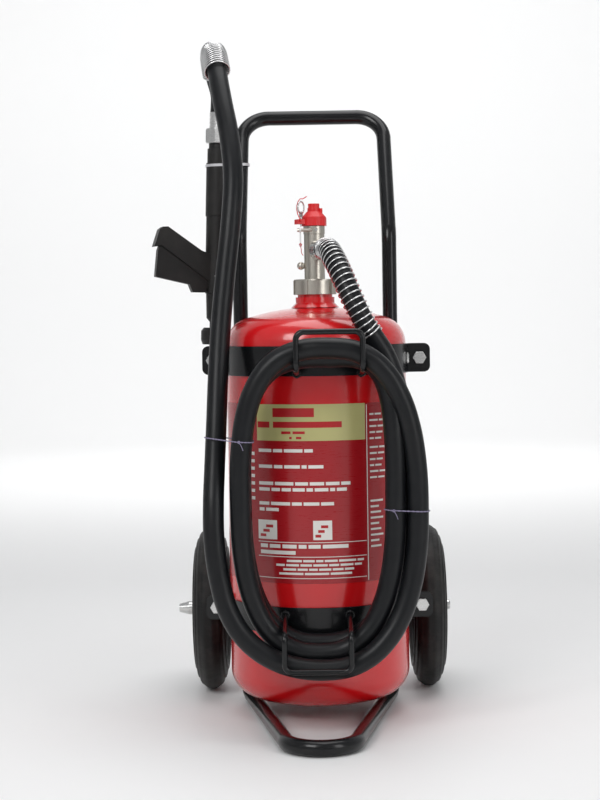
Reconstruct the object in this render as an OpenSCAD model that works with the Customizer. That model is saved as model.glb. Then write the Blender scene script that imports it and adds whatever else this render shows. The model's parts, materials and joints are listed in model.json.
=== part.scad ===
// Wheeled foam fire extinguisher: a pressure cylinder on a tube trolley, with a coiled hose and a
// trigger gun. The origin is on the ground under the cylinder's axis. +Z is up, the hose hangs on
// the -Y side, and the wheels are on the +Y side, turning about an axle along X.

/* [Cylinder] */
// Outside diameter of the pressure cylinder
cyl_d = 262; // [260:0.5:263]
// Wall of the pressure cylinder
cyl_wall = 3; // [2.5:0.1:3.5]
// Height of the cylinder's lowest point
cyl_low = 11; // [11:0.5:13]
// Height of the crown of the upper head
cyl_crown = 592; // [588:1:594]

/* [Trolley] */
// Outside diameter of the frame tube
tube_d = 22; // [21:0.5:22]
// Wall of the frame tube
tube_wall = 2; // [1.5:0.1:3]
// Half the spacing of the two frame uprights
upright_x = 113; // [113:0.5:116]
// Distance of the uprights behind the cylinder's axis
upright_y = 91; // [91:0.5:94]
// Height at which the uprights bend back
kink_z = 700; // [690:1:710]
// Angle of the handle from upright
handle_lean = 30; // [26:1:32]
// Height of the handle bar
handle_z = 890; // [870:1:895]
// How far the foot loop reaches in front of the cylinder's axis
foot_reach = 280; // [270:1:285]

/* [Bands] */
// Thickness of the band straps
band_t = 3; // [2.5:0.1:3.5]
// Height of the middle of the upper band
band_hi_z = 516; // [512:1:518]
// Height of the middle of the lower band
band_lo_z = 153; // [150:1:156]
// Width of the upper band
band_hi_w = 42; // [38:1:42]
// Width of the lower band
band_lo_w = 37; // [34:1:38]
// Distance of the clamp bolts from the cylinder's axis
bolt_x = 151; // [150:0.5:153]

/* [Wheels] */
// Wheel diameter over the tyre
wheel_d = 250; // [244:1:252]
// Width of a tyre
tyre_w = 50; // [46:1:50]
// Distance of a wheel's middle from the cylinder's axis
wheel_x = 168; // [168:0.5:171]
// Distance of the axle behind the cylinder's axis
axle_y = 160; // [158:1:166]
// Diameter of the axle
axle_d = 16; // [15:0.5:17]

/* [Valve] */
// Height of the outlet's centre line
outlet_z = 674; // [672:0.5:676]
// Turn of the outlet towards +X
outlet_turn = 22; // [18:1:24]
// Diameter of the turning knob's rim
knob_d = 37; // [35:0.5:38]
// Lift left for the valve stem inside the knob
stem_lift = 3; // [2.5:0.1:3.5]

/* [Hose] */
// Outside diameter of the hose
hose_d = 29; // [27:0.5:30]

/* [Gun] */
// Distance of the gun's axis to the side of the cylinder's axis
gun_x = 150.5; // [150:0.5:154]
// Distance of the gun's axis behind the cylinder's axis
gun_y = 165; // [165:1:170]
// Sideways lean of the gun
gun_lean = 2; // [1:0.5:3]
// Turn of the gun's grip towards the front
gun_turn = 15; // [10:1:20]

/* [Hidden] */
$fn = 64;
hull_fn = 32;
eps = 0.01;
lap = 1;
swell = 0.1;

// Colours
red = "#c3161c";
black = "#16181a";
soft_black = "#202224";
nickel = "#b9b2a4";
steel = "#c9cbcd";
white = "#eceae4";
print_red = "#a51418";

// Cylinder heads: a knuckle arc and a crown arc
cyl_r = cyl_d / 2;
knuckle_r = 40;
crown_r = 343;
knuckle_x = cyl_r - knuckle_r;
crown_drop = crown_r - sqrt(pow(crown_r - knuckle_r, 2) - pow(knuckle_x, 2));
side_lo = cyl_low + crown_drop;
side_hi = cyl_crown - crown_drop;
knuckle_end = crown_r * knuckle_x / (crown_r - knuckle_r);
neck_hole_r = 28.6;

// Neck and valve heights
neck_r = 28.5;
weld_z = 590.85;
neck_z = 606;
spigot_r = 25.5;
spigot_z = 620;
nut_z = 610;
nut_top = 632;
nut_r = 31.5;
flange_r = 24.4;
flange_z = 622;
flange_top = 625.8;
valve_r = 15;
collar_r = 15.75;
collar_z = 697;
collar_top = 709;
stem_r = 5.95;
stem_bore_r = 6;
stem_top = 735;
stem_groove_z = 694;
chamber_r = 9;
chamber_lo = 652;
chamber_hi = 688;
seat_bore_r = 6;
outlet_boss_r = 10;
outlet_reach = 34.6;
dip_r = 9;
dip_bore_r = 7.5;
dip_lo = 30;

// Knob, tab and pin
knob_z = 709.6;
knob_rim_top = 722.5;
knob_top = 742;
tab_angle = 205;
tab_z = 712;
tab_t = 7;
tab_reach = 28.5;
pin_reach = 20.5;
pin_r = 1.25;
pin_at = pin_reach * [cos(tab_angle), sin(tab_angle)];
ring_r = 8.6;
ring_wire_r = 1.15;
ring_low = 727.6;
ring_turn = -30;

// Bands
band_in = cyl_r + 0.3;
band_out = band_in + band_t;
seam_gap = 0.3;
ear_end = bolt_x + 15.5;
ear_corner = 9;
bolt_r = 5;
bolt_hole_r = 5.4;
bolt_flats = 17;

// Frame
tube_r = tube_d / 2;
tube_bend = 42;
foot_bend = 50;
frame_split = 66;
foot_meet_y = -485;
foot_turn = atan2(upright_x, upright_y - foot_meet_y);
foot_front_r = (-foot_reach - foot_meet_y) / (1 / sin(foot_turn) - 1);
handle_back = upright_y + (handle_z - kink_z) * tan(handle_lean);
handle_half = upright_x - 3;

// Axle and wheels
axle_z = wheel_d / 2;
axle_r = axle_d / 2;
bush_gap = 0.05;
bush_r = axle_r + 3;
bracket_t = 5;
hub_half = tyre_w / 2 + 0.5;
rim_r = 88;
axle_end = wheel_x + 36;
spacer_x = upright_x + bracket_t / 2;
washer_t = 2;

// Gun, in its own frame: the axis is local Z, the grip reaches towards local -X
gun_z = 700;
pivot = [-5, -57];
trigger_half = 9;
trigger_slot_half = 9.6;
grip_half = 13;
gun_r = 19.2;
barrel_top = -84;
nozzle_low = -163;
hex_lo = 148.5;
hex_hi = 171;
hose_in = 196;

// Hose route where it isn't coiled, through the middle of the hose
hose_r = hose_d / 2;
lead_start = [outlet_reach * sin(outlet_turn), -outlet_reach * cos(outlet_turn), outlet_z];
lead_pts = [
    lead_start, lead_start + 13 * [sin(outlet_turn), -cos(outlet_turn), 0],
    [21, -61, 671], [26, -80, 662], [33, -98, 647], [41, -112, 628], [50, -121, 606],
    [60, -126, 584], [70, -126, 564], [82, -124, 546], [95, -123, 528], [106, -127, 509],
    [113, -135, 489], [117, -144, 468],
];
tail_pts = [
    [-55, -201, 111], [-80, -199, 126], [-105, -196, 148], [-120, -193, 172], [-131, -190, 200],
    [-138, -188, 232], [-142, -186, 262], [-143, -182, 294], [-143, -175, 328], [-142, -160, 362],
    [-141, -143, 396], [-140, -127, 430], [-139, -112, 462], [-138, -100, 496], [-137, -90, 530],
    [-134, -82, 566], [-130, -75, 602], [-127, -69, 638], [-123, -63, 674], [-119, -56, 710],
    [-116, -47, 746], [-115, -36, 780], [-117, -23, 812], [-121, -9, 841], [-127, 6, 870],
    [-132, 21, 898], [-137, 38, 925], [-141, 58, 950], [-145, 82, 970], [-149, 108, 978],
    [-151, 134, 971], [-149, 153, 950],
    for (h = [26, 0]) [-gun_x + (hose_in + h) * sin(gun_lean), gun_y, gun_z + (hose_in + h) * cos(gun_lean)],
];
hose_sides = 10;

// Coil of hose on the hooks, as the outline of its turns seen from the front
coil_back = -139;
coil_front = -200;
coil_steps = 60;
coil_out_mid = [15, 317.5];
coil_out_half = [137, 234.5];
coil_out_square = [2.45, 2.3];
coil_in_mid = [7, 326];
coil_in_half = [90, 196];
coil_in_square = [3.2, 3.2];
coil_in_shift = 11;

// ---- Helpers ----

function unit(v) = v / norm(v);
function flip_x(p) = [-p[0], p[1], p[2]];

// Any direction square to v
function square_to(v) = unit(abs(v[2]) < 0.9 * norm(v) ? cross(v, [0, 0, 1]) : cross(v, [0, 1, 0]));

// Puts a shape at a point, with its local X and Z along two given square directions
module place(at, x_dir, z_dir) {
    y_dir = cross(z_dir, x_dir);
    multmatrix([
        [x_dir[0], y_dir[0], z_dir[0], at[0]],
        [x_dir[1], y_dir[1], z_dir[1], at[1]],
        [x_dir[2], y_dir[2], z_dir[2], at[2]],
        [0, 0, 0, 1],
    ]) children();
}

// A shape standing on local Z, laid along a direction
module along(at, dir) place(at, square_to(dir), unit(dir)) children();

// Solid round bar along straight runs, with a bend of its own radius at each inner point. The bends
// are a hair thicker than the runs, and the runs lap into them, so that no two faces coincide.
module bar(pts, r, bends) {
    last = len(pts) - 1;
    runs = [for (i = [0 : last - 1]) unit(pts[i + 1] - pts[i])];
    turns = [for (i = [0 : last]) i == 0 || i == last ? 0 : acos(runs[i - 1] * runs[i])];
    cuts = [for (i = [0 : last]) i == 0 || i == last ? 0 : bends[i - 1] * tan(turns[i] / 2) - lap];
    for (i = [0 : last - 1])
        place(pts[i] + runs[i] * cuts[i], square_to(runs[i]), runs[i])
            cylinder(r = r, h = norm(pts[i + 1] - pts[i]) - cuts[i] - cuts[i + 1]);
    for (i = [1 : last - 1]) {
        hinge = unit(cross(runs[i - 1], runs[i]));
        inward = cross(hinge, runs[i - 1]);
        bend = bends[i - 1];
        place(pts[i] - runs[i - 1] * (cuts[i] + lap) + inward * bend, -inward, hinge)
            rotate_extrude(angle = turns[i]) translate([bend, 0]) circle(r + swell);
    }
}

// Round tube along the same kind of route, open at both ends
module tube(pts, r, bends, wall) {
    last = len(pts) - 1;
    first_out = pts[0] - unit(pts[1] - pts[0]);
    last_out = pts[last] + unit(pts[last] - pts[last - 1]);
    difference() {
        bar(pts, r, bends);
        bar([for (i = [0 : last]) i == 0 ? first_out : i == last ? last_out : pts[i]], r - wall, bends);
    }
}

// Hollow ring standing on local Z
module ring(r, bore, h, z = 0) {
    translate([0, 0, z]) difference() {
        cylinder(r = r, h = h);
        translate([0, 0, -1]) cylinder(r = bore, h = h + 2);
    }
}

// Hexagonal prism of a given size across flats
module hex(flats, h) cylinder(d = flats / cos(30), h = h, $fn = 6);

// The ring of points round a sweep's centre line at one point
function sweep_ring(at, side, dir, r, n) =
    [for (k = [0 : n - 1]) at + r * (cos(360 * k / n) * side + sin(360 * k / n) * cross(dir, side))];

// Directions along a route, and a side direction that turns as little as it can
function route_dirs(p) = [for (i = [0 : len(p) - 1])
    unit(p[min(i + 1, len(p) - 1)] - p[max(i - 1, 0)])];
function route_sides(dirs, i = 0, side = undef) =
    let (s = side == undef ? square_to(dirs[0]) : unit(side - dirs[i] * (side * dirs[i])))
    i == len(dirs) - 1 ? [s] : concat([s], route_sides(dirs, i + 1, s));

// Closed tube swept along a route's own points
module sweep(p, r, n) {
    dirs = route_dirs(p);
    sides = route_sides(dirs);
    last = len(p) - 1;
    polyhedron(
        points = [for (i = [0 : last]) each sweep_ring(p[i], sides[i], dirs[i], r, n)],
        faces = concat(
            [[for (k = [0 : n - 1]) k]],
            [for (i = [0 : last - 1], k = [0 : n - 1])
                [i * n + k, (i + 1) * n + k, (i + 1) * n + (k + 1) % n, i * n + (k + 1) % n]],
            [[for (k = [n - 1 : -1 : 0]) last * n + k]]
        ));
}

// Superellipse outline, with its own squareness above and below the middle, and a sideways shift of
// its top against its bottom
function sign_pow(v, e) = sign(v) * pow(abs(v), e);
function oval(mid, half, top, low, n, shift = 0) = [for (k = [0 : n - 1])
    let (a = 360 * k / n, e = 2 / (sin(a) > 0 ? top : low), up = sign_pow(sin(a), e))
    mid + [half[0] * sign_pow(cos(a), e) + shift * up, half[1] * up]];

// ---- Cylinder ----

// Half section of the closed vessel, moved in by an inset
module vessel_half(inset) {
    translate([0, side_lo]) square([cyl_r - inset, side_hi - side_lo]);
    for (end = [[side_lo, 1], [side_hi, -1]]) translate([0, end[0]]) {
        intersection() {
            translate([knuckle_x, 0]) circle(knuckle_r - inset);
            translate([knuckle_x, -knuckle_r]) square(2 * knuckle_r);
        }
        intersection() {
            translate([0, end[1] * (crown_r - crown_drop)]) circle(crown_r - inset, $fn = 180);
            polygon([
                [0, 0], [knuckle_x, 0],
                [knuckle_end, -end[1] * (crown_drop - knuckle_r) - end[1] * knuckle_r * 0.95],
                [knuckle_end * 0.99, -end[1] * crown_drop], [0, -end[1] * (crown_drop + 1)],
            ]);
        }
    }
}

module cylinder_shell() color(red) {
    difference() {
        rotate_extrude($fn = 120) vessel_half(0);
        rotate_extrude($fn = 120) vessel_half(cyl_wall);
        translate([0, 0, side_hi]) cylinder(r = neck_hole_r, h = crown_drop + 1);
    }
}

module neck_ring() color(red) {
    difference() {
        union() {
            translate([0, 0, 584]) cylinder(r = neck_r, h = neck_z - 584);
            translate([0, 0, neck_z - eps]) cylinder(r = spigot_r, h = spigot_z - neck_z + eps);
            translate([0, 0, weld_z]) cylinder(r1 = neck_r + 7, r2 = neck_r - eps, h = 7);
        }
        translate([0, 0, 583]) cylinder(r = 20, h = spigot_z - 582);
    }
}

// Printed film round the front of the cylinder
module cylinder_label() color(print_red) {
    rotate([0, 0, 192]) rotate_extrude(angle = 156, $fn = 120)
        translate([cyl_r + 0.05, 205]) square([0.25, 251]);
}

module neck_seal() color(black) ring(flange_r, 20.2, flange_z - spigot_z - eps, spigot_z);

// ---- Valve ----

module coupling_nut() color(nickel) {
    slots = 6;
    difference() {
        union() {
            translate([0, 0, nut_z]) cylinder(r = nut_r, h = nut_top - nut_z - 2);
            translate([0, 0, nut_top - 2]) cylinder(r1 = nut_r, r2 = nut_r - 1.5, h = 2);
        }
        translate([0, 0, nut_z - 1]) cylinder(r = spigot_r + 0.1, h = flange_top + 0.2 - nut_z + 1);
        translate([0, 0, nut_z - 1]) cylinder(r = valve_r + 0.2, h = 30);
        for (i = [0 : slots - 1]) rotate([0, 0, 15 + i * 360 / slots])
            translate([nut_r - 2.6, -3, nut_z - 1]) cube([5, 6, 30]);
    }
}

module outlet_axis(from) rotate([0, 0, outlet_turn]) translate([0, -from, outlet_z])
    rotate([90, 0, 0]) children();

module valve_body() color(nickel) {
    difference() {
        union() {
            translate([0, 0, 600]) cylinder(r = 13, h = flange_z - 599);
            translate([0, 0, flange_z]) cylinder(r = flange_r, h = flange_top - flange_z);
            translate([0, 0, flange_z]) cylinder(r = valve_r, h = collar_z - flange_z);
            translate([0, 0, collar_z]) cylinder(r = valve_r - 0.6, h = 1);
            translate([0, 0, collar_z + 0.8]) cylinder(r = collar_r, h = collar_top - collar_z - 0.8);
            outlet_axis(0) cylinder(r = outlet_boss_r, h = 30);
        }
        translate([0, 0, 599]) cylinder(r = dip_r + 0.02, h = 25);
        translate([0, 0, 620]) cylinder(r = seat_bore_r, h = 60);
        translate([0, 0, chamber_lo]) cylinder(r = chamber_r, h = chamber_hi - chamber_lo);
        translate([0, 0, 680]) cylinder(r = stem_bore_r, h = 40);
        outlet_axis(0) cylinder(r = 7, h = 40);
        lock_post_place() cylinder(r = 2.32, h = 40);
        translate([-13, 0, 652]) rotate([0, -90, 0]) cylinder(r = 3.02, h = 10);
        translate([3, -collar_r + 2.5, 703.5]) rotate([90, 0, 0]) cylinder(r = 1.52, h = 10);
    }
}

module dip_tube() color(white) ring(dip_r, dip_bore_r, 619 - dip_lo, dip_lo);

module dip_strainer() color(white) {
    difference() {
        translate([0, 0, 20]) cylinder(r = dip_r + 2, h = 28);
        translate([0, 0, 22]) cylinder(r = dip_r + 0.05, h = 40);
        for (i = [0 : 3]) rotate([0, 0, i * 45]) translate([-20, -1, 24]) cube([40, 2, 5]);
    }
}

module relief_plug() color(nickel) {
    translate([-13.2, 0, 652]) rotate([0, -90, 0]) rotate_extrude() union() {
        square([3, 2.2]);
        translate([0, 2]) square([4.4, 1.8]);
        intersection() {
            translate([0, 6.6]) circle(5.8);
            translate([0, 2.2]) square([6, 11]);
        }
    }
}

module collar_screw() color(steel) {
    translate([3, -collar_r + 2.2, 703.5]) rotate([90, 0, 0]) difference() {
        union() {
            cylinder(r = 1.5, h = 2.4);
            translate([0, 0, 2.3]) cylinder(r1 = 2.2, r2 = 1.7, h = 0.9);
        }
        translate([-3, -0.3, 2.8]) cube([6, 0.6, 1]);
    }
}

module lock_post_place() translate([-3, -14.5, 703.3]) rotate([0, -90, 0]) children();

module lock_post() color(nickel) {
    lock_post_place() {
        cylinder(r = 2.3, h = 18.5);
        translate([0, 0, 18.4]) cylinder(r1 = 3, r2 = 2.3, h = 3.2);
    }
}

// Plastic strap and bead of the broken-seal indicator, hanging from the post
module seal_strap() color(white) {
    translate([-18.8, -14.5, 703.3]) rotate([0, -90, 0]) ring(3.4, 2.4, 2.4);
    translate([-21.2, -14.9, 682]) cube([2.4, 0.8, 18.2]);
    translate([-20, -14.5, 681]) sphere(r = 2);
}

module outlet_nut() color(steel) {
    outlet_axis(17) difference() {
        union() {
            cylinder(r = 15, h = 15);
            translate([0, 0, 14.9]) cylinder(r1 = 15, r2 = 13.5, h = 2.6);
        }
        translate([0, 0, -1]) cylinder(r = outlet_boss_r + 0.1, h = 14.2);
        translate([0, 0, -1]) cylinder(r = 7, h = 20);
    }
}

module outlet_washer() color(black) {
    outlet_axis(30.02) difference() {
        cylinder(r = outlet_boss_r - 0.2, h = 0.15);
        translate([0, 0, -1]) cylinder(r = 7.1, h = 3);
    }
}

// ---- Knob, stem and safety pin ----

module valve_stem() color(steel) {
    difference() {
        union() {
            translate([0, 0, chamber_lo + 0.1]) cylinder(r = 3, h = 12);
            translate([0, 0, chamber_lo + 3.2]) cylinder(r = stem_r, h = stem_top - chamber_lo - 3.2);
        }
        ring(stem_r + 1, 4.55, 2.4, stem_groove_z);
    }
}

module stem_seal() color(black) ring(stem_bore_r - 0.02, 4.6, 2.3, stem_groove_z + 0.05);

module stem_disc() color(black) ring(8, 3.05, 3, chamber_lo + 0.1);

module valve_knob() color(red) {
    lobes = 8;
    difference() {
        union() {
            translate([0, 0, knob_z]) cylinder(d = knob_d - 1.6, h = knob_rim_top - knob_z);
            for (i = [0 : lobes - 1]) rotate([0, 0, i * 360 / lobes + 10])
                translate([knob_d / 2 - 6, 0, knob_z]) cylinder(r = 6, h = knob_rim_top - knob_z - 1);
            translate([0, 0, knob_rim_top - eps]) cylinder(r1 = knob_d / 2 - 0.8, r2 = 10.5, h = 8);
            translate([0, 0, knob_rim_top + 7]) cylinder(r = 9.4, h = 6);
            translate([0, 0, knob_z + 10]) cylinder(r = 8.3, h = knob_top - knob_z - 10);
            rotate([0, 0, -20]) translate([11, 0, knob_rim_top]) cylinder(r = 2.4, h = 12.5);
            rotate([0, 0, tab_angle]) translate([8, -6, tab_z]) cube([tab_reach - 8, 12, tab_t]);
        }
        translate([0, 0, knob_z - 1]) cylinder(r = stem_bore_r, h = stem_top + stem_lift - knob_z + 1);
        translate([pin_at[0], pin_at[1], tab_z - 5]) cylinder(r = pin_r + 0.05, h = 30);
    }
}

module safety_pin() color(steel) {
    translate([pin_at[0], pin_at[1], 0]) rotate([0, 0, ring_turn]) {
        translate([0, 0, 708.6]) cylinder(r = pin_r, h = 16);
        difference() {
            translate([-2.6, -0.9, 722.5]) cube([5.2, 1.8, 8]);
            translate([0, 3, ring_low]) rotate([90, 0, 0]) cylinder(r = 1.5, h = 6);
        }
    }
}

module pull_ring() color(steel) {
    translate([pin_at[0], pin_at[1], ring_low + ring_r]) rotate([0, 0, ring_turn]) rotate([0, 90, 0])
        rotate_extrude() translate([ring_r, 0]) circle(ring_wire_r, $fn = 24);
}

// Thin tie from the ring's top down in front of the tab, with a stray end
seal_pts = [
    [-10, -13, 752], [-13, -12, 750], [-16, -11.5, 748.5], [-19.5, -11, 748.8], [-22.5, -11.5, 745],
    [-24.3, -12.5, 739], [-24.6, -14, 733], [-23.6, -16, 727], [-21.5, -17.3, 722],
    [-19.5, -17.7, 717.5],
];

module tamper_seal() color(red) {
    sweep(seal_pts, 0.7, 8);
    translate(seal_pts[9] - [0, 0, 1]) sphere(r = 1.4);
}

// ---- Trolley ----

module frame_handle() color(black) {
    half = [[upright_x, upright_y, frame_split], [upright_x, upright_y, kink_z],
        [handle_half, handle_back, handle_z]];
    tube(concat(half, [for (i = [2 : -1 : 0]) flip_x(half[i])]), tube_r,
        [tube_bend, tube_bend, tube_bend, tube_bend], tube_wall);
}

module frame_foot() color(black) {
    half = [[upright_x, upright_y, frame_split - 0.05], [upright_x, upright_y, tube_r]];
    tube([half[0], half[1], [0, foot_meet_y, tube_r], flip_x(half[1]), flip_x(half[0])], tube_r,
        [foot_bend, foot_front_r, foot_bend], tube_wall);
}

module axle_bracket(side) color(black) {
    difference() {
        translate([side * upright_x - bracket_t / 2, 0, 0]) rotate([90, 0, 90])
            linear_extrude(bracket_t) union() {
                translate([axle_y, axle_z]) circle(20);
                translate([upright_y + tube_r - 1.5, axle_z - 20])
                    square([axle_y - upright_y - tube_r + 1.5, 40]);
            }
        translate([side * upright_x, axle_y, axle_z]) rotate([0, 90, 0])
            cylinder(r = axle_r + 0.05, h = 40, center = true);
    }
}

module axle_bracket_left() axle_bracket(-1);
module axle_bracket_right() axle_bracket(1);

// Flat ear of a band, in X and Z, from inside the strap to its rounded end
module ear_face(z, w) {
    difference() {
        union() {
            translate([cyl_r, z - w / 2]) square([ear_end - ear_corner - cyl_r, w]);
            translate([cyl_r, z - w / 2 + ear_corner]) square([ear_end - cyl_r, w - 2 * ear_corner]);
            for (s = [-1, 1]) translate([ear_end - ear_corner, z + s * (w / 2 - ear_corner)])
                circle(ear_corner);
        }
        translate([bolt_x, z]) circle(bolt_hole_r);
    }
}

// Half strap round the cylinder with an ear at each end: front = -1 is the half towards -Y
module half_band(z, w, front) {
    difference() {
        union() {
            intersection() {
                ring(band_out, band_in, w, z - w / 2);
                translate([-200, front < 0 ? -200 - seam_gap : seam_gap, z - w]) cube([400, 200, 2 * w]);
            }
            for (m = [0, 1]) mirror([m, 0, 0])
                translate([0, front < 0 ? -seam_gap : seam_gap + band_t, 0])
                rotate([90, 0, 0]) linear_extrude(band_t) ear_face(z, w);
        }
        translate([0, 0, z - w]) cylinder(r = band_in, h = 2 * w);
    }
}

module band_upper_front() color(black) difference() {
    half_band(band_hi_z, band_hi_w, -1);
    rivet_places() cylinder(r = 3.05, h = 30, center = true);
}
module band_upper_rear() color(black) half_band(band_hi_z, band_hi_w, 1);
module band_lower_front() color(black) half_band(band_lo_z, band_lo_w, -1);
module band_lower_rear() color(black) half_band(band_lo_z, band_lo_w, 1);

module bolt_places() for (x = [-bolt_x, bolt_x], z = [band_lo_z, band_hi_z])
    translate([x, 0, z]) rotate([90, 0, 0]) children();

module band_bolts() color(steel) bolt_places() {
    translate([0, 0, band_t + seam_gap]) difference() {
        hex(bolt_flats, 6.4);
        translate([0, 0, 5.6]) ring(20, bolt_flats / 2 - 0.4, 2);
    }
    translate([0, 0, -16]) cylinder(r = bolt_r, h = 16 + band_t + seam_gap + eps);
}

module band_nuts() color(steel) bolt_places() translate([0, 0, -band_t - seam_gap - 8.4])
    difference() {
        hex(bolt_flats, 8.4);
        translate([0, 0, -1]) cylinder(r = bolt_r + 0.05, h = 12);
    }

// Dome heads beside the roots of the upper ears
module rivet_places() for (m = [0, 1]) mirror([m, 0, 0])
    rotate([0, 0, -8]) translate([band_out, 0, band_hi_z]) rotate([0, 90, 0]) children();

module band_rivets() color(steel) rivet_places() {
    translate([0, 0, -band_t + 0.1]) cylinder(r = 3, h = band_t);
    translate([0, 0, 0.05]) cylinder(r1 = 8.4, r2 = 6.4, h = 2.2);
}

// U-shaped hose hook: two legs from the strap, joined by a bar in front of the hose
module hose_hook(mid, half, root_z, knee_z, bar_z, reach, bend) {
    left = mid - half;
    right = mid + half;
    function root(x) = [x, -sqrt(pow(band_out, 2) - x * x) + 1.6, root_z];
    bar([
        root(left), [left, -reach, knee_z], [left, -reach, bar_z],
        [right, -reach, bar_z], [right, -reach, knee_z], root(right),
    ], 4, [bend, bend, bend, bend]);
}

module hose_hook_upper() color(black) hose_hook(18, 45, 499, 506, 557, 206, 11);
module hose_hook_lower() color(black) hose_hook(-3, 45, 160, 150, 100, 224, 11);

// ---- Axle and wheels ----

module on_axle(x) translate([x, axle_y, axle_z]) rotate([0, 90, 0]) children();

module axle() color(steel) {
    head_x = -wheel_x - hub_half - washer_t - 0.2;
    difference() {
        union() {
            on_axle(head_x) cylinder(r = axle_r, h = axle_end - head_x - 1.5);
            on_axle(axle_end - 1.5 - eps) cylinder(r1 = axle_r, r2 = axle_r - 1.5, h = 1.5);
            on_axle(head_x - 9) cylinder(r = 10.5, h = 9);
            on_axle(head_x - 24) cylinder(r1 = 6.5, r2 = 10.5, h = 15 + eps);
        }
        on_axle(wheel_x + hub_half + washer_t + 0.3) ring(axle_r + 2, axle_r - 1, 1.3);
    }
}

module axle_spacers() color(black) for (x = [-1, 1])
    on_axle(x > 0 ? spacer_x + 0.1 : -wheel_x + hub_half + washer_t + 0.2)
        ring(bush_r, axle_r + 0.1, wheel_x - hub_half - washer_t - spacer_x - 0.3);

module axle_washers() color(steel) for (s = [-1, 1], side = [-1, 1])
    on_axle(s * wheel_x + side * (hub_half + 0.1 + washer_t / 2) - washer_t / 2)
        ring(15, axle_r + 0.1, washer_t - 0.05);

module axle_circlip() color(steel)
    on_axle(wheel_x + hub_half + washer_t + 0.35) difference() {
        ring(axle_r + 2.6, axle_r - 0.95, 1.2);
        translate([-30, -2, -1]) cube([30, 4, 4]);
    }

// Solid rubber tyre: sloping shoulders with raised ribs, up to a narrow tread. Each step of the
// outline is a radius and a half width.
module tyre(x) color(soft_black) on_axle(x) {
    w = tyre_w / 2;
    r = wheel_d / 2;
    half = [[rim_r, w - 4], [rim_r + 2, w - 1], [rim_r + 4, w], [rim_r + 7, w], [rim_r + 9, w - 2],
        [rim_r + 15, w - 3.5], [rim_r + 17, w - 3], [rim_r + 20, w - 4], [rim_r + 22, w - 6.5],
        [rim_r + 25, w - 8], [rim_r + 27, w - 7.5], [rim_r + 30, w - 9.5], [rim_r + 32, w - 12.5],
        [r - 2.5, w - 15.5], [r - 0.8, w - 18], [r, w - 20.5]];
    rotate_extrude($fn = 120)
        polygon(concat(half, [for (i = [len(half) - 1 : -1 : 0]) [half[i][0], -half[i][1]]]));
}

module hub(x) color(black) on_axle(x) {
    ribs = 6;
    w = tyre_w / 2;
    difference() {
        union() {
            ring(rim_r - 0.1, rim_r - 7, 2 * w - 10, -w + 5);
            cylinder(r = rim_r - 6, h = 7, center = true);
            cylinder(r = 22, h = 2 * hub_half, center = true);
            for (i = [0 : ribs - 1]) rotate([0, 0, i * 360 / ribs])
                translate([18, -3, -w + 10]) cube([rim_r - 23, 6, 2 * w - 20]);
        }
        cylinder(r = bush_r + 0.05, h = 100, center = true);
    }
}

module bush(x) color(white) on_axle(x)
    ring(bush_r, axle_r + bush_gap, 2 * hub_half, -hub_half);

module tyre_left() tyre(-wheel_x);
module hub_left() hub(-wheel_x);
module bush_left() bush(-wheel_x);
module tyre_right() tyre(wheel_x);
module hub_right() hub(wheel_x);
module bush_right() bush(wheel_x);

// ---- Gun ----

module gun_place() translate([-gun_x, gun_y, gun_z]) rotate([0, gun_lean, 0]) rotate([0, 0, gun_turn])
    children();

// A flat outline in the gun's local X and Z, given a thickness across Y
module gun_slab(outline, half) rotate([90, 0, 0]) translate([0, 0, -half])
    linear_extrude(2 * half) polygon(outline);

grip_outline = [
    [-101, -14], [-93, 13], [-88, 17], [-80, 17.5], [-27, -18], [-16, -22], [0, -22],
    [0, -64], [-15, -64], [-89, -12],
];
grip_hollow = [
    [-96, -24], [-90, 9.5], [-86, 12.5], [-81, 12.5], [-30, -22], [-14, -40], [9, -42],
    [9, -80], [-17.5, -80], [-17.5, -84], [-96, -84],
];
trigger_outline = [
    [-94.6, -19], [-97.5, -60], [-44.5, -70.5], [-39, -82.6], [-20.5, -82.6], [-9, -67], [7, -67],
    [7, -57], [0, -50.5], [-6, -49.5], [-16, -54], [-87, -8.5], [-91, -9],
];
trigger_hollow = [[-92, -24], [-93.5, -56], [-46, -65.5], [-36, -72], [-30, -62]];
seat_z = -108;

module gun_body() color(soft_black) gun_place() {
    difference() {
        union() {
            translate([0, 0, 118]) cylinder(r = 17.8, h = 22);
            translate([0, 0, 140 - eps]) cylinder(r = 15.8, h = 8);
            translate([0, 0, 36]) cylinder(r = gun_r, h = 82 + eps);
            translate([0, 0, -83.8]) cylinder(r = 18, h = 120);
            gun_slab(grip_outline, grip_half);
        }
        gun_slab(grip_hollow, trigger_slot_half);
        // Water way past the trigger
        translate([0, 0, -30]) cylinder(r = 6, h = 200);
        translate([13.3, 0, -90]) cylinder(r = 2.8, h = 66);
        translate([0, 0, -27]) rotate([0, 90, 0]) cylinder(r = 2.8, h = 14);
        translate([0, 0, -90]) cylinder(r = 3.05, h = 20);
        translate([pivot[0], 0, pivot[1]]) rotate([90, 0, 0]) cylinder(r = 2.02, h = 60, center = true);
    }
}

module gun_trigger() color(soft_black) gun_place() difference() {
    gun_slab(trigger_outline, trigger_half);
    gun_slab(trigger_hollow, trigger_half - 3);
    translate([pivot[0], 0, pivot[1]]) rotate([90, 0, 0]) cylinder(r = 2.06, h = 60, center = true);
}

module trigger_pin() color(steel) gun_place()
    translate([pivot[0], 0, pivot[1]]) rotate([90, 0, 0]) cylinder(r = 2, h = 36, center = true);

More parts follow.
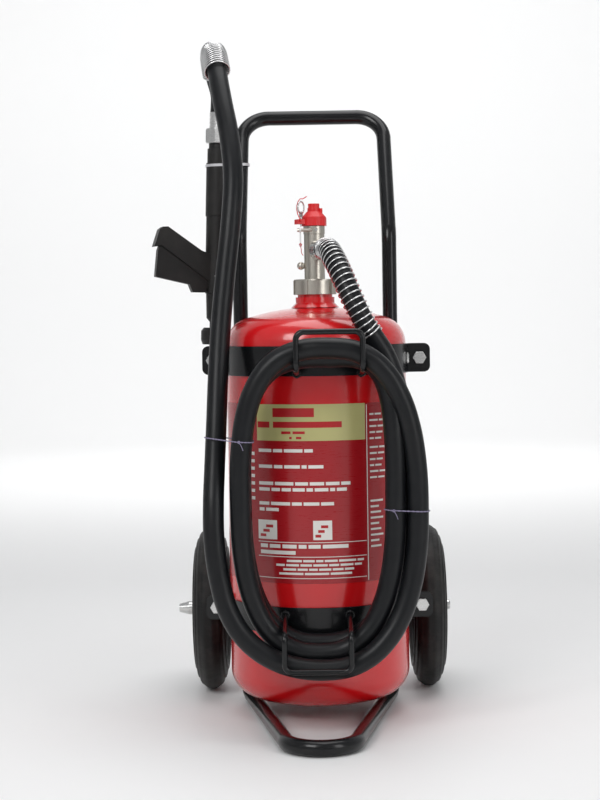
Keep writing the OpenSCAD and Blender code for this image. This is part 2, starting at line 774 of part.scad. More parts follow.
// Push rod under the trigger's nose, with the valve disc that opens away from its seat
module gun_plunger() color(steel) gun_place() {
    translate([0, 0, -70]) cylinder(r = 6.5, h = 2.8);
    translate([0, 0, -92]) cylinder(r = 3, h = 22 + eps);
    translate([0, 0, -94]) cylinder(r = 5.6, h = 2 + eps);
    translate([0, 0, seat_z - 6]) cylinder(r = 2.5, h = 20.5);
    translate([0, 0, seat_z - 6.6]) cylinder(r = 5.8, h = 2.5);
}

module plunger_spring() color(steel) gun_place() {
    coils = 5;
    for (i = [0 : coils - 1]) translate([0, 0, -95 - i * 3])
        rotate_extrude() translate([4.6, 0]) circle(0.7, $fn = 16);
}

module gun_barrel() color(soft_black) gun_place() difference() {
    union() {
        translate([0, 0, -122]) cylinder(r1 = 15, r2 = 16.4, h = barrel_top + 122);
        translate([0, 0, -128]) cylinder(r1 = 10, r2 = 15, h = 6 + eps);
        translate([0, 0, -140]) cylinder(r = 10, h = 12 + eps);
    }
    translate([0, 0, seat_z]) cylinder(r = 7, h = 40);
    translate([0, 0, seat_z - 4]) cylinder(r = 4, h = 10);
    translate([0, 0, -150]) cylinder(r = 7, h = 150 + seat_z - 4);
    translate([13.3, 0, barrel_top - 6]) cylinder(r = 2.8, h = 10);
    translate([0, 0, barrel_top - 6]) rotate([0, 90, 0]) cylinder(r = 2.8, h = 13.3);
}

module nozzle_ring() color(soft_black) gun_place() difference() {
    union() {
        translate([0, 0, -156]) cylinder(r = 23, h = 14);
        translate([0, 0, nozzle_low]) cylinder(r1 = 20.5, r2 = 23, h = -156 - nozzle_low + eps);
        translate([0, 0, -142 - eps]) cylinder(r1 = 23, r2 = 19, h = 5);
    }
    translate([0, 0, -200]) cylinder(r = 12, h = 59.8);
    translate([0, 0, -200]) cylinder(r = 10.02, h = 70);
}

module gun_hex_nut() color(steel) gun_place() difference() {
    translate([0, 0, hex_lo]) hex(37, hex_hi - hex_lo);
    translate([0, 0, hex_lo - 1]) ring(40, 20.2, 2.6);
    translate([0, 0, hex_hi - 1.6]) ring(40, 20.2, 2.6);
    translate([0, 0, hex_lo - 1]) cylinder(r = 9, h = 40);
}

module hose_ferrule() color(steel) gun_place() {
    difference() {
        translate([0, 0, hex_hi + 0.05]) cylinder(r = 15.4, h = hose_in - hex_hi - 0.1);
        for (i = [0 : 2]) ring(20, 14.7, 2.2, hex_hi + 5 + i * 6);
        translate([0, 0, hex_hi - 1]) cylinder(r = 8, h = 40);
    }
}

// Tie round the gun and the frame tube beside it
gun_tie_z = 812;
gun_tie_rise = gun_tie_z + 2 - kink_z;
tie_tube_at = [-upright_x + (upright_x - handle_half) * gun_tie_rise / (handle_z - kink_z),
    upright_y + gun_tie_rise * tan(handle_lean)];
tie_gun_at = [-gun_x + (gun_tie_z - gun_z) * sin(gun_lean), gun_y];

// Outline that clears both, grown by the strap's own thickness
module tie_outline(grow, h) hull() {
    translate(tie_gun_at) cylinder(r = gun_r + 0.4 + grow, h = h, $fn = hull_fn);
    for (dy = [-2.6, 2.6]) translate(tie_tube_at + [0, dy])
        cylinder(r = tube_r + 1.2 + grow, h = h, $fn = hull_fn);
}

module gun_tie() color(white) translate([0, 0, gun_tie_z]) difference() {
    tie_outline(1, 4);
    translate([0, 0, -1]) tie_outline(0, 6);
}

// ---- Hose ----

module hose_lead() color(soft_black) sweep(lead_pts, hose_r, hose_sides);

module hose_tail() color(soft_black) sweep(tail_pts, hose_r, hose_sides);

module hose_coil() color(soft_black) {
    translate([0, coil_back, 0]) rotate([90, 0, 0]) linear_extrude(coil_back - coil_front)
        difference() {
            polygon(oval(coil_out_mid, coil_out_half, coil_out_square[0], coil_out_square[1], coil_steps));
            polygon(oval(coil_in_mid, coil_in_half, coil_in_square[0], coil_in_square[1], coil_steps,
                coil_in_shift));
        }
}

// Rings of wire round a stretch of hose, by share of each step of its route
module wire_rings(p, first, last, shares, r, wire) {
    dirs = route_dirs(p);
    for (i = [first : last], t = shares)
        along(p[i] * (1 - t) + p[i + 1] * t, dirs[i] * (1 - t) + dirs[i + 1] * t)
            rotate_extrude($fn = 32) translate([r, 0]) circle(wire, $fn = 16);
}

// Spring guard of open pitch on the hose's first stretch
module lead_guard() color(steel) wire_rings(lead_pts, 1, 8, [0.05, 0.55], hose_r + 1.4, 1);

// Close-wound spring guard over the hose's high bend
module tail_guard() color(steel)
    wire_rings(tail_pts, 27, 30, [0, 0.25, 0.5, 0.75], hose_r + 2.4, 1.4);

// Twine ties round the strands of the coil
module hose_ties() color(white) for (t = [[-119, -79, 432], [105, 154, 330]])
    translate([t[0], coil_front - 0.6, t[2]]) difference() {
        cube([t[1] - t[0], coil_back - coil_front + 1.2, 2]);
        translate([1, 1, -1]) cube([t[1] - t[0] - 2, coil_back - coil_front - 0.8, 4]);
    }

cylinder_shell();
neck_ring();
cylinder_label();
neck_seal();
coupling_nut();
valve_body();
dip_tube();
dip_strainer();
relief_plug();
collar_screw();
lock_post();
seal_strap();
outlet_nut();
outlet_washer();
valve_stem();
stem_seal();
stem_disc();
valve_knob();
safety_pin();
pull_ring();
tamper_seal();
frame_handle();
frame_foot();
axle_bracket_left();
axle_bracket_right();
band_upper_front();
band_upper_rear();
band_lower_front();
band_lower_rear();
band_bolts();
band_nuts();
band_rivets();
hose_hook_upper();
hose_hook_lower();
axle();
axle_spacers();
axle_washers();
axle_circlip();
tyre_left();
hub_left();
bush_left();
tyre_right();
hub_right();
bush_right();
gun_body();
gun_barrel();
nozzle_ring();
gun_tie();
gun_trigger();
trigger_pin();
gun_plunger();
plunger_spring();
gun_hex_nut();
hose_ferrule();
hose_lead();
hose_coil();
hose_tail();
lead_guard();
tail_guard();
hose_ties();
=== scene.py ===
"""Looks of the wheeled fire extinguisher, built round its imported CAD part. Metres, +Z up."""

import json
import math

import bmesh
import bpy
from mathutils import Matrix, Vector


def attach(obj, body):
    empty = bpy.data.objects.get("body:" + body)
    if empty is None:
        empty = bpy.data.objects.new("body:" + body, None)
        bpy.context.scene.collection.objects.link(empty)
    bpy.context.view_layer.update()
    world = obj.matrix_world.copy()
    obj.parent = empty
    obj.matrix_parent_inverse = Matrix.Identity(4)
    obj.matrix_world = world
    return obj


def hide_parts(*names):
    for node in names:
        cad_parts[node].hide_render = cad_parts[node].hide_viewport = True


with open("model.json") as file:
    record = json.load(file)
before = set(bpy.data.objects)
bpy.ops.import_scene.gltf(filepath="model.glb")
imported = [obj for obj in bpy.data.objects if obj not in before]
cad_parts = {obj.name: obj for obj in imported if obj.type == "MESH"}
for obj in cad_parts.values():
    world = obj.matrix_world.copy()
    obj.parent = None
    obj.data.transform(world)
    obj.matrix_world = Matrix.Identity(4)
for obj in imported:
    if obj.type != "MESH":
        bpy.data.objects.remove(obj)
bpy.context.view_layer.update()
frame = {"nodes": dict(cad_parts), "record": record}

# ---------------------------------------------------------------- camera

CAMERA_AT = (0, -2.488, 0.573)
YAW, PITCH, ROLL = (math.radians(a) for a in (0.56, -2.69, -0.89))

cam_data = bpy.data.cameras.new("camera")
cam_data.sensor_width = 36
cam_data.lens = 76.5
cam = bpy.data.objects.new("camera", cam_data)
bpy.context.scene.collection.objects.link(cam)
cam.matrix_world = (
    Matrix.Translation(CAMERA_AT)
    @ Matrix.Rotation(YAW, 4, "Z")
    @ Matrix.Rotation(math.pi / 2 + PITCH, 4, "X")
    @ Matrix.Rotation(ROLL, 4, "Z")
)
bpy.context.scene.camera = cam

# ---------------------------------------------------------------- materials


class Shader:
    """A material's node tree, with short ways to add and join nodes."""

    def __init__(self, name):
        self.mat = bpy.data.materials.new(name)
        self.mat.use_nodes = True
        self.tree = self.mat.node_tree
        self.tree.nodes.clear()
        out = self.add("ShaderNodeOutputMaterial")
        self.bsdf = self.add("ShaderNodeBsdfPrincipled")
        self.join(self.bsdf.outputs[0], out.inputs[0])
        self.coord = self.add("ShaderNodeTexCoord").outputs["Object"]

    def add(self, kind, **values):
        n = self.tree.nodes.new(kind)
        for k, v in values.items():
            setattr(n, k, v)
        return n

    def join(self, a, b):
        self.tree.links.new(a, b)

    def noise(self, scale, detail=4.0, stretch=None, roughness=0.55):
        n = self.add("ShaderNodeTexNoise")
        n.inputs["Scale"].default_value = scale
        n.inputs["Detail"].default_value = detail
        n.inputs["Roughness"].default_value = roughness
        source = self.coord
        if stretch:
            m = self.add("ShaderNodeMapping")
            m.inputs["Scale"].default_value = stretch
            self.join(self.coord, m.inputs["Vector"])
            source = m.outputs[0]
        self.join(source, n.inputs["Vector"])
        return n.outputs["Fac"]

    def span(self, value, low, high, to_low, to_high):
        m = self.add("ShaderNodeMapRange")
        ends = {"From Min": low, "From Max": high, "To Min": to_low, "To Max": to_high}
        for k, v in ends.items():
            m.inputs[k].default_value = v
        self.join(value, m.inputs["Value"])
        return m.outputs[0]

    def mix(self, fac, a, b):
        m = self.add("ShaderNodeMix", data_type="RGBA")
        self.join(fac, m.inputs["Factor"])
        for side, c in ((6, a), (7, b)):  # the node's two colour sockets
            if hasattr(c, "is_linked"):
                self.join(c, m.inputs[side])
            else:
                m.inputs[side].default_value = (*c, 1)
        return m.outputs[2]

    def bump(self, height, strength, distance, normal=None):
        b = self.add("ShaderNodeBump")
        b.inputs["Strength"].default_value = strength
        b.inputs["Distance"].default_value = distance
        self.join(height, b.inputs["Height"])
        if normal is not None:
            self.join(normal, b.inputs["Normal"])
        return b.outputs[0]

    def rounded(self, radius):
        b = self.add("ShaderNodeBevel")
        b.samples = 4
        b.inputs["Radius"].default_value = radius
        return b.outputs[0]


DUST = (0.3, 0.28, 0.25)


def finish(name, base, rough, metal=0.0, worn=None, wear=0.0, grain=900, grain_depth=0.00004,
           edge=0.0006, coat=0.0, dust=0.0, spec=None, blotch=6):
    """A surface with uneven tone, fine grain, faint scratches, worn spots and a little dust.

    worn is the colour of the spots and wear how many there are, edge the radius that sharp edges
    are shaded with, and blotch how fine the uneven tone is.
    """
    s = Shader(name)
    p = s.bsdf.inputs
    p["Metallic"].default_value = metal
    if spec is not None:
        p["Specular IOR Level"].default_value = spec
    broad = s.noise(blotch, 5)
    fine = s.noise(grain, 3)
    scratch = s.noise(60, 8, (1, 1, 14), 0.75)
    dark = [c * 0.86 for c in base]
    light = [min(1, c * 1.1) for c in base]
    colour = s.mix(s.span(broad, 0.3, 0.7, 0, 1), dark, light)
    if worn:
        spots = s.span(s.noise(210, 6, None, 0.7), 0.72 - wear * 0.1, 0.78, 0, 1)
        colour = s.mix(spots, colour, worn)
    if dust:
        laid = s.span(s.noise(16, 6, None, 0.65), 0.42, 0.75, 0, dust)
        colour = s.mix(laid, colour, DUST)
    s.join(colour, p["Base Color"])
    rough_range = rough * 0.85, min(1, rough * 1.3 + 0.03)
    s.join(s.span(scratch, 0.3, 0.75, *rough_range), p["Roughness"])
    if coat:
        p["Coat Weight"].default_value = coat
        p["Coat Roughness"].default_value = 0.08
    round_edge = s.rounded(edge) if edge else None
    n = s.bump(fine, 0.35, grain_depth, round_edge)
    s.join(s.bump(scratch, 0.12, 0.0002, n), p["Normal"])
    return s.mat


MATS = {
    "red_paint": finish("red_paint", (0.62, 0.006, 0.009), 0.2, grain=500, grain_depth=0.00006,
                        coat=0.6, edge=0.001),
    "label_film": finish("label_film", (0.36, 0.005, 0.010), 0.28, grain=700, coat=0.3, edge=0),
    "black_paint": finish("black_paint", (0.0040, 0.0044, 0.0052), 0.2, spec=0.3,
                          worn=(0.05, 0.05, 0.05), wear=0.15, grain=650, grain_depth=0.00012,
                          coat=0.15, edge=0.001, dust=0.01),
    "nickel": finish("nickel", (0.53, 0.5, 0.44), 0.3, 0.95, worn=(0.3, 0.27, 0.22), wear=0.5,
                     grain=1400, edge=0.0005),
    "steel": finish("steel", (0.68, 0.68, 0.67), 0.24, 1.0, worn=(0.4, 0.38, 0.35), wear=0.4,
                    grain=1500, edge=0.0005),
    "white_plastic": finish("white_plastic", (0.75, 0.74, 0.7), 0.5, grain=800),
    "clear_plastic": finish("clear_plastic", (0.8, 0.81, 0.8), 0.25, grain=600, edge=0.0002),
    "red_plastic": finish("red_plastic", (0.66, 0.012, 0.015), 0.33, grain=700,
                          grain_depth=0.0001, edge=0.0007),
    "black_plastic": finish("black_plastic", (0.0105, 0.0098, 0.0095), 0.42, spec=0.32,
                            worn=(0.04, 0.04, 0.04), wear=0.2, grain=1100,
                            grain_depth=0.00014, edge=0.0012, dust=0.04),
    "tyre": finish("tyre", (0.0065, 0.0065, 0.0065), 0.5, spec=0.3, worn=(0.05, 0.05, 0.048),
                   wear=0.5, grain=900, grain_depth=0.0002, edge=0.0006, dust=0.12),
    "black_rubber": finish("black_rubber", (0.02, 0.02, 0.02), 0.55, grain=900,
                           grain_depth=0.0001),
    "hose_rubber": finish("hose_rubber", (0.0045, 0.0052, 0.0065), 0.34, spec=0.28, grain=1300,
                          grain_depth=0.00008, edge=0, dust=0.015, blotch=12),
    "silver_tape": finish("silver_tape", (0.6, 0.6, 0.62), 0.3, 0.3, grain=900, edge=0),
    "twine": finish("twine", (0.27, 0.24, 0.36), 0.8, grain=2500, grain_depth=0.0003, edge=0),
}
# Bright drawn wire: nearly smooth, so that the turns read as separate lines
SPRING = finish("spring_wire", (0.66, 0.66, 0.66), 0.2, 1.0, grain=2200, grain_depth=0.00001,
                edge=0)
PRINT = {
    "print_panel": finish("print_panel", (0.5, 0.47, 0.2), 0.3, grain=700, edge=0),
    "print_red": finish("print_red", (0.45, 0.01, 0.015), 0.3, grain=700, edge=0),
    "print_white": finish("print_white", (0.78, 0.76, 0.72), 0.3, grain=700, edge=0),
}

for row in frame["record"]["subparts"]:
    o = frame["nodes"][row["node"]]
    for s in o.material_slots:
        s.material = MATS[row["material_slot"]]
    if not o.material_slots:
        o.data.materials.append(MATS[row["material_slot"]])

# ---------------------------------------------------------------- helpers


def add_object(name, data, material, body="base"):
    o = bpy.data.objects.new(name, data)
    bpy.context.scene.collection.objects.link(o)
    if material:
        data.materials.append(material)
    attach(o, body)
    return o


def bezier(points):
    """A smooth curve through points, as (handle before, point, handle after)."""
    p = [Vector(q) for q in points]
    out = []
    for i, q in enumerate(p):
        a, b = p[max(i - 1, 0)], p[min(i + 1, len(p) - 1)]
        la, lb = (q - a).length, (b - q).length
        if la == 0 or lb == 0:
            t = (b - a).normalized()
        else:
            t = ((q - a) / la * lb + (b - q) / lb * la) / (la + lb)
        out.append((q - t * la / 3, q, q + t * lb / 3))
    return out


def walk(handles, step=0.0015):
    """Points close together along a curve made of bezier handles."""
    out = []
    for (_, a, b), (c, d, _) in zip(handles, handles[1:]):
        n = max(2, int((d - a).length / step))
        for i in range(n):
            t = i / n
            u = 1 - t
            out.append(a * u**3 + b * 3 * t * u**2 + c * 3 * t * t * u + d * t**3)
    out.append(handles[-1][1])
    return out


def bezier_curve(name, handles, radius, material):
    """A tube along a curve made of bezier handles."""
    c = bpy.data.curves.new(name, "CURVE")
    c.dimensions = "3D"
    c.bevel_depth = radius
    c.bevel_resolution = 12
    c.use_fill_caps = True
    c.resolution_u = 10
    s = c.splines.new("BEZIER")
    s.bezier_points.add(len(handles) - 1)
    for b, (h0, p, h1) in zip(s.bezier_points, handles):
        b.handle_left_type = b.handle_right_type = "FREE"
        b.handle_left, b.co, b.handle_right = h0, p, h1
    return add_object(name, c, material)


def wire(name, points, radius, material, sides=3, closed=False):
    """A wire along many points."""
    c = bpy.data.curves.new(name, "CURVE")
    c.dimensions = "3D"
    c.bevel_depth = radius
    c.bevel_resolution = sides
    c.use_fill_caps = True
    s = c.splines.new("POLY")
    s.points.add(len(points) - 1)
    for q, p in zip(s.points, points):
        q.co = (*p, 1)
    s.use_cyclic_u = closed
    s.use_smooth = True
    return add_object(name, c, material)


def travelling_frames(line):
    """A side direction at each point of a line, turning as little as it can."""
    last = len(line) - 1
    dirs = [(line[min(i + 1, last)] - line[max(i - 1, 0)]).normalized() for i in range(len(line))]
    side = dirs[0].orthogonal().normalized()
    out = []
    for d in dirs:
        side = (side - d * side.dot(d)).normalized()
        out.append((side.copy(), d.cross(side)))
    return out


def helix(line, start, end, radius, pitch, per_turn):
    """Points of a coil of wire round a line, between two distances along it.

    radius and pitch are functions of the distance.
    """
    frames = travelling_frames(line)
    out, run, angle, want = [], 0.0, 0.0, start
    for i in range(1, len(line)):
        seg = line[i] - line[i - 1]
        length = seg.length
        while want <= min(run + length, end):
            t = (want - run) / length
            at = line[i - 1] + seg * t
            u, v = frames[i]
            r = radius(want)
            out.append(at + u * (r * math.cos(angle)) + v * (r * math.sin(angle)))
            angle += 2 * math.pi / per_turn
            want += pitch(want) / per_turn
        run += length
    return out


# ---------------------------------------------------------------- hose

HOSE_R = 0.0145
# Points of its centre line, from the outlet to the first turn
LEAD = [
    (0.01296, -0.03208, 0.674), (0.01783, -0.04413, 0.674), (0.021, -0.061, 0.671),
    (0.026, -0.080, 0.662), (0.033, -0.098, 0.647), (0.041, -0.112, 0.628),
    (0.050, -0.121, 0.606), (0.060, -0.126, 0.584), (0.070, -0.126, 0.564),
    (0.082, -0.124, 0.546), (0.095, -0.123, 0.525), (0.105, -0.126, 0.500),
    (0.113, -0.134, 0.468), (0.119, -0.143, 0.420),
]
# The turns' right, low, left and high points, in the order that the hose passes them
TURNS = [
    (0.121, -0.148, 0.330), (0.0, -0.151, 0.125), (-0.106, -0.152, 0.320),
    (0.018, -0.152, 0.5215), (0.106, -0.175, 0.330), (0.0, -0.180, 0.117),
    (-0.106, -0.183, 0.320), (0.018, -0.183, 0.5345), (0.1365, -0.178, 0.315),
    (0.005, -0.2045, 0.099),
]
# How square each quarter turn between them is: 2 is an ellipse
SQUARENESS = [2.5, 2.5, 3.3, 4.0, 2.5, 2.5, 2.9, 2.45, 2.35]
# From the last turn, up over the handle and down to the gun
TAIL = [
    (-0.055, -0.201, 0.1095), (-0.083, -0.199, 0.125), (-0.107, -0.195, 0.148),
    (-0.125, -0.191, 0.180), (-0.136, -0.188, 0.222), (-0.1425, -0.185, 0.275),
    (-0.143, -0.175, 0.328), (-0.142, -0.158, 0.366), (-0.140, -0.127, 0.430),
    (-0.138, -0.100, 0.496), (-0.134, -0.082, 0.566), (-0.127, -0.069, 0.638),
    (-0.119, -0.056, 0.710), (-0.115, -0.036, 0.780), (-0.121, -0.009, 0.841),
    (-0.132, 0.021, 0.898), (-0.137, 0.038, 0.925), (-0.141, 0.058, 0.950),
    (-0.145, 0.082, 0.970), (-0.149, 0.108, 0.978), (-0.151, 0.134, 0.971),
    (-0.149, 0.153, 0.950), (-0.14275, 0.165, 0.92187), (-0.14366, 0.165, 0.89588),
]


def quarter(a, b, n, from_side, steps=7):
    """Points of a superellipse quarter from a to b, the first left out.

    from_side says that a is a left or right point, which the hose passes upright.
    """
    out = []
    for k in range(1, steps + 1):
        t = k / steps * math.pi / 2
        c, s = math.cos(t) ** (2 / n), math.sin(t) ** (2 / n)
        if k == steps:
            c, s = 0.0, 1.0
        if from_side:
            x, z = b[0] + (a[0] - b[0]) * c, a[2] + (b[2] - a[2]) * s
        else:
            x, z = a[0] + (b[0] - a[0]) * s, b[2] + (a[2] - b[2]) * c
        y = a[1] + (b[1] - a[1]) * (0.5 - 0.5 * math.cos(2 * t))
        out.append((x, y, z))
    return out


route = [*LEAD, TURNS[0]]
for i, (a, b, n) in enumerate(zip(TURNS, TURNS[1:], SQUARENESS)):
    route += quarter(a, b, n, i % 2 == 0)
route += TAIL

hose_handles = bezier(route)
hose_line = walk(hose_handles)
hose_length = sum((b - a).length for a, b in zip(hose_line, hose_line[1:]))
hose = bezier_curve("hose", hose_handles, HOSE_R, MATS["hose_rubber"])
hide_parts("hose_lead", "hose_coil", "hose_tail")

# Open spring guard on the lead: its turns open out over the first part, and close up at its end
LEAD_START, LEAD_END = 0.004, 0.190


def lead_pitch(s):
    return 0.0045 if s > LEAD_END - 0.007 else 0.0055 + 0.0032 * min(1, s / 0.06)


lead_turns = helix(hose_line, LEAD_START, LEAD_END, lambda s: HOSE_R + 0.0015, lead_pitch, 18)
lead_wire = wire("lead_spring", lead_turns, 0.0011, SPRING)
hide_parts("lead_guard")

# Close-wound guard over the high bend, flared a little at its front mouth
GUARD_START, GUARD_END = hose_length - 0.184, hose_length - 0.060


def guard_radius(s):
    return HOSE_R + 0.0032 + 0.0010 * math.exp(-(s - GUARD_START) / 0.02)


def guard_pitch(s):
    return 0.0046 if s < GUARD_START + 0.05 else 0.0036


guard_turns = helix(hose_line, GUARD_START, GUARD_END, guard_radius, guard_pitch, 20)
tail_wire = wire("bend_spring", guard_turns, 0.0014, SPRING)
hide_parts("tail_guard")

# ---------------------------------------------------------------- twine ties round the coil


def crossings(z, keep):
    """Where the hose passes a height, for the points that keep accepts."""
    out = []
    for a, b in zip(hose_line, hose_line[1:]):
        if (a.z - z) * (b.z - z) <= 0 and a.z != b.z:
            q = a + (b - a) * ((z - a.z) / (b.z - a.z))
            if keep(q):
                out.append(q)
    return out


def belt(centres, r, n=28):
    """A taut loop round several circles of one radius, in X and Y."""
    pts = sorted(
        (c.x + r * math.cos(2 * math.pi * k / n), c.y + r * math.sin(2 * math.pi * k / n))
        for c in centres
        for k in range(n)
    )

    def turns_left(a, b, c):
        return (b[0] - a[0]) * (c[1] - a[1]) - (b[1] - a[1]) * (c[0] - a[0]) > 0

    def half(seq):
        out = []
        for q in seq:
            while len(out) > 1 and not turns_left(out[-2], out[-1], q):
                out.pop()
            out.append(q)
        return out[:-1]

    return half(pts) + half(pts[::-1])


def resample(loop, step):
    """A closed loop's points at even spacing."""
    loop = [Vector((*q, 0)) for q in loop]
    out = []
    for a, b in zip(loop, loop[1:] + loop[:1]):
        n = max(1, round((b - a).length / step))
        out += [a + (b - a) * (k / n) for k in range(n)]
    return out


TWINE_R = 0.00045


def twine_tie(name, z, keep, tilt):
    """Two plies of twine round the strands at a height, with a small knot in front."""
    centres = crossings(z, keep)
    mid = sum(centres, Vector()) / len(centres)
    ring = resample(belt(centres, HOSE_R + 0.0010), 0.0022)
    pieces = []
    for ply, phase in enumerate((0, math.pi)):
        pts = []
        for k, q in enumerate(ring):
            a = phase + k * 1.1
            out = (q - Vector((mid.x, mid.y, 0))).normalized() * (0.0005 * math.cos(a))
            height = z + (q.x - mid.x) * tilt + 0.0005 * math.sin(a)
            pts.append(Vector((q.x, q.y, height)) + out)
        pieces.append(wire(f"{name}_ply{ply}", pts, TWINE_R, MATS["twine"], closed=True))
    front = min(ring, key=lambda q: q.y + 0.3 * q.x)
    middle = Vector((front.x, front.y - 0.001, z + (front.x - mid.x) * tilt))
    turns = []
    for k in range(20):
        a = 0.5 * k
        bend = (0.0016 * math.cos(a), -0.0006 + 0.0010 * math.sin(2 * a), 0.0016 * math.sin(a))
        turns.append(middle + Vector(bend))
    loose = turns[-1]
    turns += [loose + Vector((0.0012 * k, -0.0004 * k, -0.000315 * k * k)) for k in range(1, 7)]
    pieces.append(wire(f"{name}_knot", turns, TWINE_R, MATS["twine"]))
    return pieces


ties = twine_tie("tie_left", 0.410, lambda q: q.x < -0.09, -0.06)
ties += twine_tie("tie_right", 0.312, lambda q: q.x > 0.09, -0.04)
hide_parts("hose_ties")

# ---------------------------------------------------------------- seal thread and welds

KNOT = Vector((-0.0200, -0.0158, 0.6822))
THREAD_END = [
    (-0.0196, -0.0158, 0.6790), (-0.0189, -0.0160, 0.6755), (-0.0190, -0.0162, 0.6720),
    (-0.0180, -0.0163, 0.6690), (-0.0162, -0.0164, 0.6665),
]

thread = []
for k in range(26):
    a = 0.55 * k
    bend = (0.0016 * math.cos(a), 0.0010 * math.sin(2.1 * a), 0.0017 * math.sin(a))
    thread.append(KNOT + Vector(bend))
thread += [Vector(q) for q in THREAD_END]
wire("seal_thread", thread, 0.00055, MATS["red_plastic"])

# A bead of weld where each end of the two hooks meets its band
BAND_R = 0.1343
HOOK_ENDS = (-0.027, 0.499), (0.063, 0.499), (-0.048, 0.160), (0.042, 0.160)
for n, (x, z) in enumerate(HOOK_ENDS):
    bead = []
    for k in range(48):
        a = 2 * math.pi * k / 48
        r = 0.0050 + 0.0003 * math.sin(7 * a + n)
        bx = x + r * math.cos(a)
        by = -math.sqrt(BAND_R**2 - bx * bx) - 0.0004 - 0.0003 * math.sin(11 * a)
        bead.append(Vector((bx, by, z + 0.0003 + r * math.sin(a))))
    wire(f"hook_weld_{n}", bead, 0.0019, MATS["black_paint"], closed=True)

# ---------------------------------------------------------------- print on the front film

PRINT_R = 0.13142


def print_patches(name, rows):
    """Flat blocks of print wrapped on the cylinder, as (left, right, low, high, ink, lift)."""
    bm = bmesh.new()
    inks = sorted({r[4] for r in rows})
    for x0, x1, z0, z1, ink, lift in rows:
        a0, a1 = (math.asin(x / PRINT_R) for x in (x0, x1))
        n = max(1, math.ceil((a1 - a0) / 0.05))
        cols = []
        for k in range(n + 1):
            a = a0 + (a1 - a0) * k / n
            r = PRINT_R + lift
            cols.append([bm.verts.new((r * math.sin(a), -r * math.cos(a), z)) for z in (z0, z1)])
        for c, d in zip(cols, cols[1:]):
            f = bm.faces.new((c[0], d[0], d[1], c[1]))
            f.material_index = inks.index(ink)
            f.smooth = True
    me = bpy.data.meshes.new(name)
    bm.to_mesh(me)
    bm.free()
    for ink in inks:
        me.materials.append(PRINT[ink])
    add_object(name, me, None)


def dashes(left, z, height, widths, ink, gap=0.0028, lift=0.0001):
    """A row of plain blocks, like a line of print without letters."""
    out, x = [], left
    for w in widths:
        out.append((x, x + w, z - height / 2, z + height / 2, ink, lift))
        x += w + gap
    return out


# From the top: the name panel, the notes under it, the pictogram boxes, the small print, and the
# side columns
blocks = [
    (-0.0845, 0.0672, 0.405, 0.456, "print_panel", 0.00005),
    (0.0688, 0.0700, 0.207, 0.454, "print_white", 0.00005),
]
blocks += dashes(-0.062, 0.4445, 0.0125, [0.058], "print_red")
blocks += dashes(-0.0835, 0.4275, 0.0085, [0.017, 0.096], "print_red", 0.005)
blocks += dashes(-0.050, 0.4165, 0.0038, [0.013, 0.017], "print_red")
blocks += dashes(-0.039, 0.4092, 0.0034, [0.0035, 0.0075], "print_red", 0.006)
for z, widths in (
    (0.3913, [0.018, 0.013, 0.026, 0.012]),
    (0.3689, [0.019, 0.012, 0.022, 0.007, 0.021]),
    (0.3452, [0.020, 0.026, 0.018, 0.020, 0.019, 0.013]),
    (0.3368, [0.015, 0.012, 0.013, 0.017, 0.009, 0.019, 0.007, 0.014]),
    (0.3170, [0.014, 0.027, 0.014, 0.022, 0.018]),
    (0.3085, [0.007, 0.018]),
):
    blocks += dashes(-0.0825, z, 0.0046, widths, "print_white", 0.0024)
for x in (-0.0845, -0.0075):
    blocks.append((x, x + 0.0265, 0.2665, 0.2935, "print_white", 0.0001))
    for k in range(3):
        left, right, low = x + 0.003 + 0.004 * k, x + 0.011 + 0.005 * k, 0.270 + 0.0065 * k
        blocks.append((left, right, low, low + 0.004, "print_red", 0.00018))
for z in (0.2628, 0.2425, 0.2125):
    blocks.append((-0.0845, 0.0672, z - 0.0005, z + 0.0005, "print_white", 0.0001))
heading = [0.010, 0.015, 0.020, 0.011, 0.017, 0.036]
blocks += dashes(-0.0815, 0.2572, 0.0052, heading, "print_white")
blocks += dashes(-0.0815, 0.2484, 0.0052, [0.049], "print_white")
for z, left, widths in (
    (0.2370, -0.045, [0.021, 0.016, 0.010, 0.018, 0.024, 0.009]),
    (0.2310, -0.060, [0.012, 0.018, 0.016, 0.020, 0.014, 0.018, 0.010]),
    (0.2250, -0.050, [0.018, 0.014, 0.012, 0.017, 0.015, 0.013]),
    (0.2190, -0.056, [0.034, 0.034, 0.030]),
):
    blocks += dashes(left, z, 0.0031, widths, "print_white", 0.002)
for k in range(11):
    z = 0.440 - 0.0085 * k - (0.004 if k > 4 else 0)
    widths = [0.006 + 0.002 * ((k * 3) % 4), 0.009]
    blocks += dashes(0.0735, z, 0.0026, widths, "print_white", 0.0016)
for k in range(9):
    widths = [0.018 - 0.003 * ((k * 2) % 3)]
    blocks += dashes(0.0735, 0.318 - 0.008 * k, 0.0028, widths, "print_white")
for k in range(7):
    low = 0.384 - 0.0105 * k
    blocks.append((-0.0935, -0.0885, low, low + 0.0045, "print_white", 0.0001))
print_patches("label_print", blocks)

# ---------------------------------------------------------------- floor and light

# A floor that turns up into a wall all round, with no corner
FLOOR_R, CURVE_R, WALL_TOP, AROUND, FLOOR_Z = 5.5, 2.0, 6.5, 64, -0.0004
profile = [(0.02, 0.0), (FLOOR_R * 0.3, 0.0), (FLOOR_R, 0.0)]
for k in range(1, 13):
    a = k * math.pi / 24
    profile.append((FLOOR_R + CURVE_R * math.sin(a), CURVE_R * (1 - math.cos(a))))
profile.append((FLOOR_R + CURVE_R, WALL_TOP))

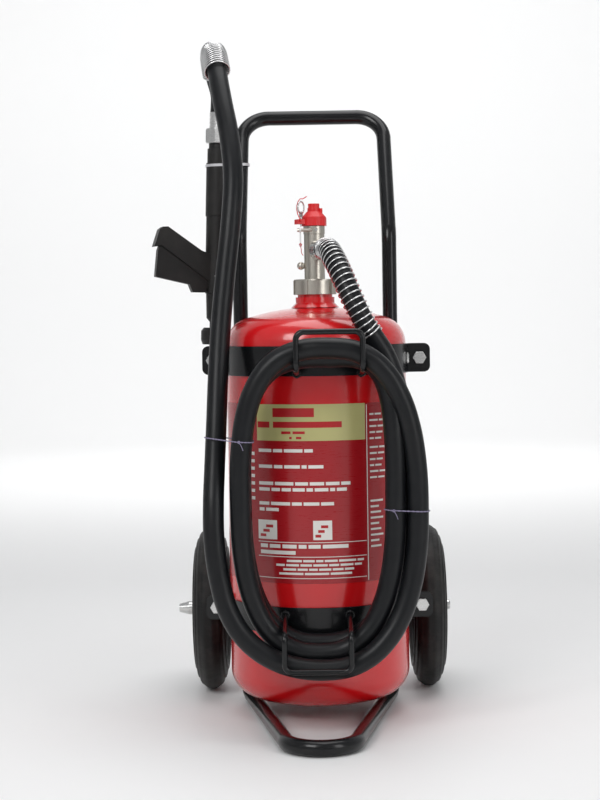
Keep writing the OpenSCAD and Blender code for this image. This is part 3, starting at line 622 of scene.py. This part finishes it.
bm = bmesh.new()
rings = []
for r, z in profile:
    turns = [2 * math.pi * k / AROUND for k in range(AROUND)]
    rings.append([bm.verts.new((r * math.cos(a), r * math.sin(a), z + FLOOR_Z)) for a in turns])
bm.faces.new(rings[0])
for low, high in zip(rings, rings[1:]):
    for k in range(AROUND):
        after = (k + 1) % AROUND
        f = bm.faces.new((low[k], high[k], high[after], low[after]))
        f.smooth = True
bm.normal_update()
studio_mesh = bpy.data.meshes.new("studio")
bm.to_mesh(studio_mesh)
bm.free()
studio = bpy.data.objects.new("studio", studio_mesh)
bpy.context.scene.collection.objects.link(studio)
pale = Shader("pale_floor")
pale.bsdf.inputs["Base Color"].default_value = (0.88, 0.88, 0.875, 1)
pale.join(pale.span(pale.noise(30, 3), 0.3, 0.7, 0.55, 0.65), pale.bsdf.inputs["Roughness"])
pale.join(pale.bump(pale.noise(700, 2), 0.08, 0.0001), pale.bsdf.inputs["Normal"])
studio_mesh.materials.append(pale.mat)


def area(name, at, aim, size, power):
    """A rectangular lamp, in watts, turned toward a point."""
    d = bpy.data.lights.new(name, "AREA")
    d.shape = "RECTANGLE"
    d.size, d.size_y = size
    d.energy = power
    o = bpy.data.objects.new(name, d)
    turn = (Vector(aim) - Vector(at)).to_track_quat("-Z", "Y").to_matrix().to_4x4()
    o.matrix_world = Matrix.Translation(at) @ turn
    bpy.context.scene.collection.objects.link(o)


area("key", (-1.3, -2.3, 2.2), (0, 0, 0.5), (1.3, 1.3), 34)
area("fill", (1.9, -2.0, 1.3), (0, 0, 0.5), (0.9, 1.8), 16)
area("top", (0.2, 0.2, 2.9), (0, 0, 0.4), (2.0, 2.0), 34)
area("wall", (0, 3.2, 3.2), (0, 6.5, 1.2), (3.0, 2.0), 120)

world = bpy.data.worlds.new("world")
world.use_nodes = True
sky = world.node_tree.nodes["Background"]
sky.inputs["Color"].default_value = (0.95, 0.96, 1, 1)
sky.inputs["Strength"].default_value = 0.42
bpy.context.scene.world = world
bpy.context.scene.view_settings.view_transform = "Standard"
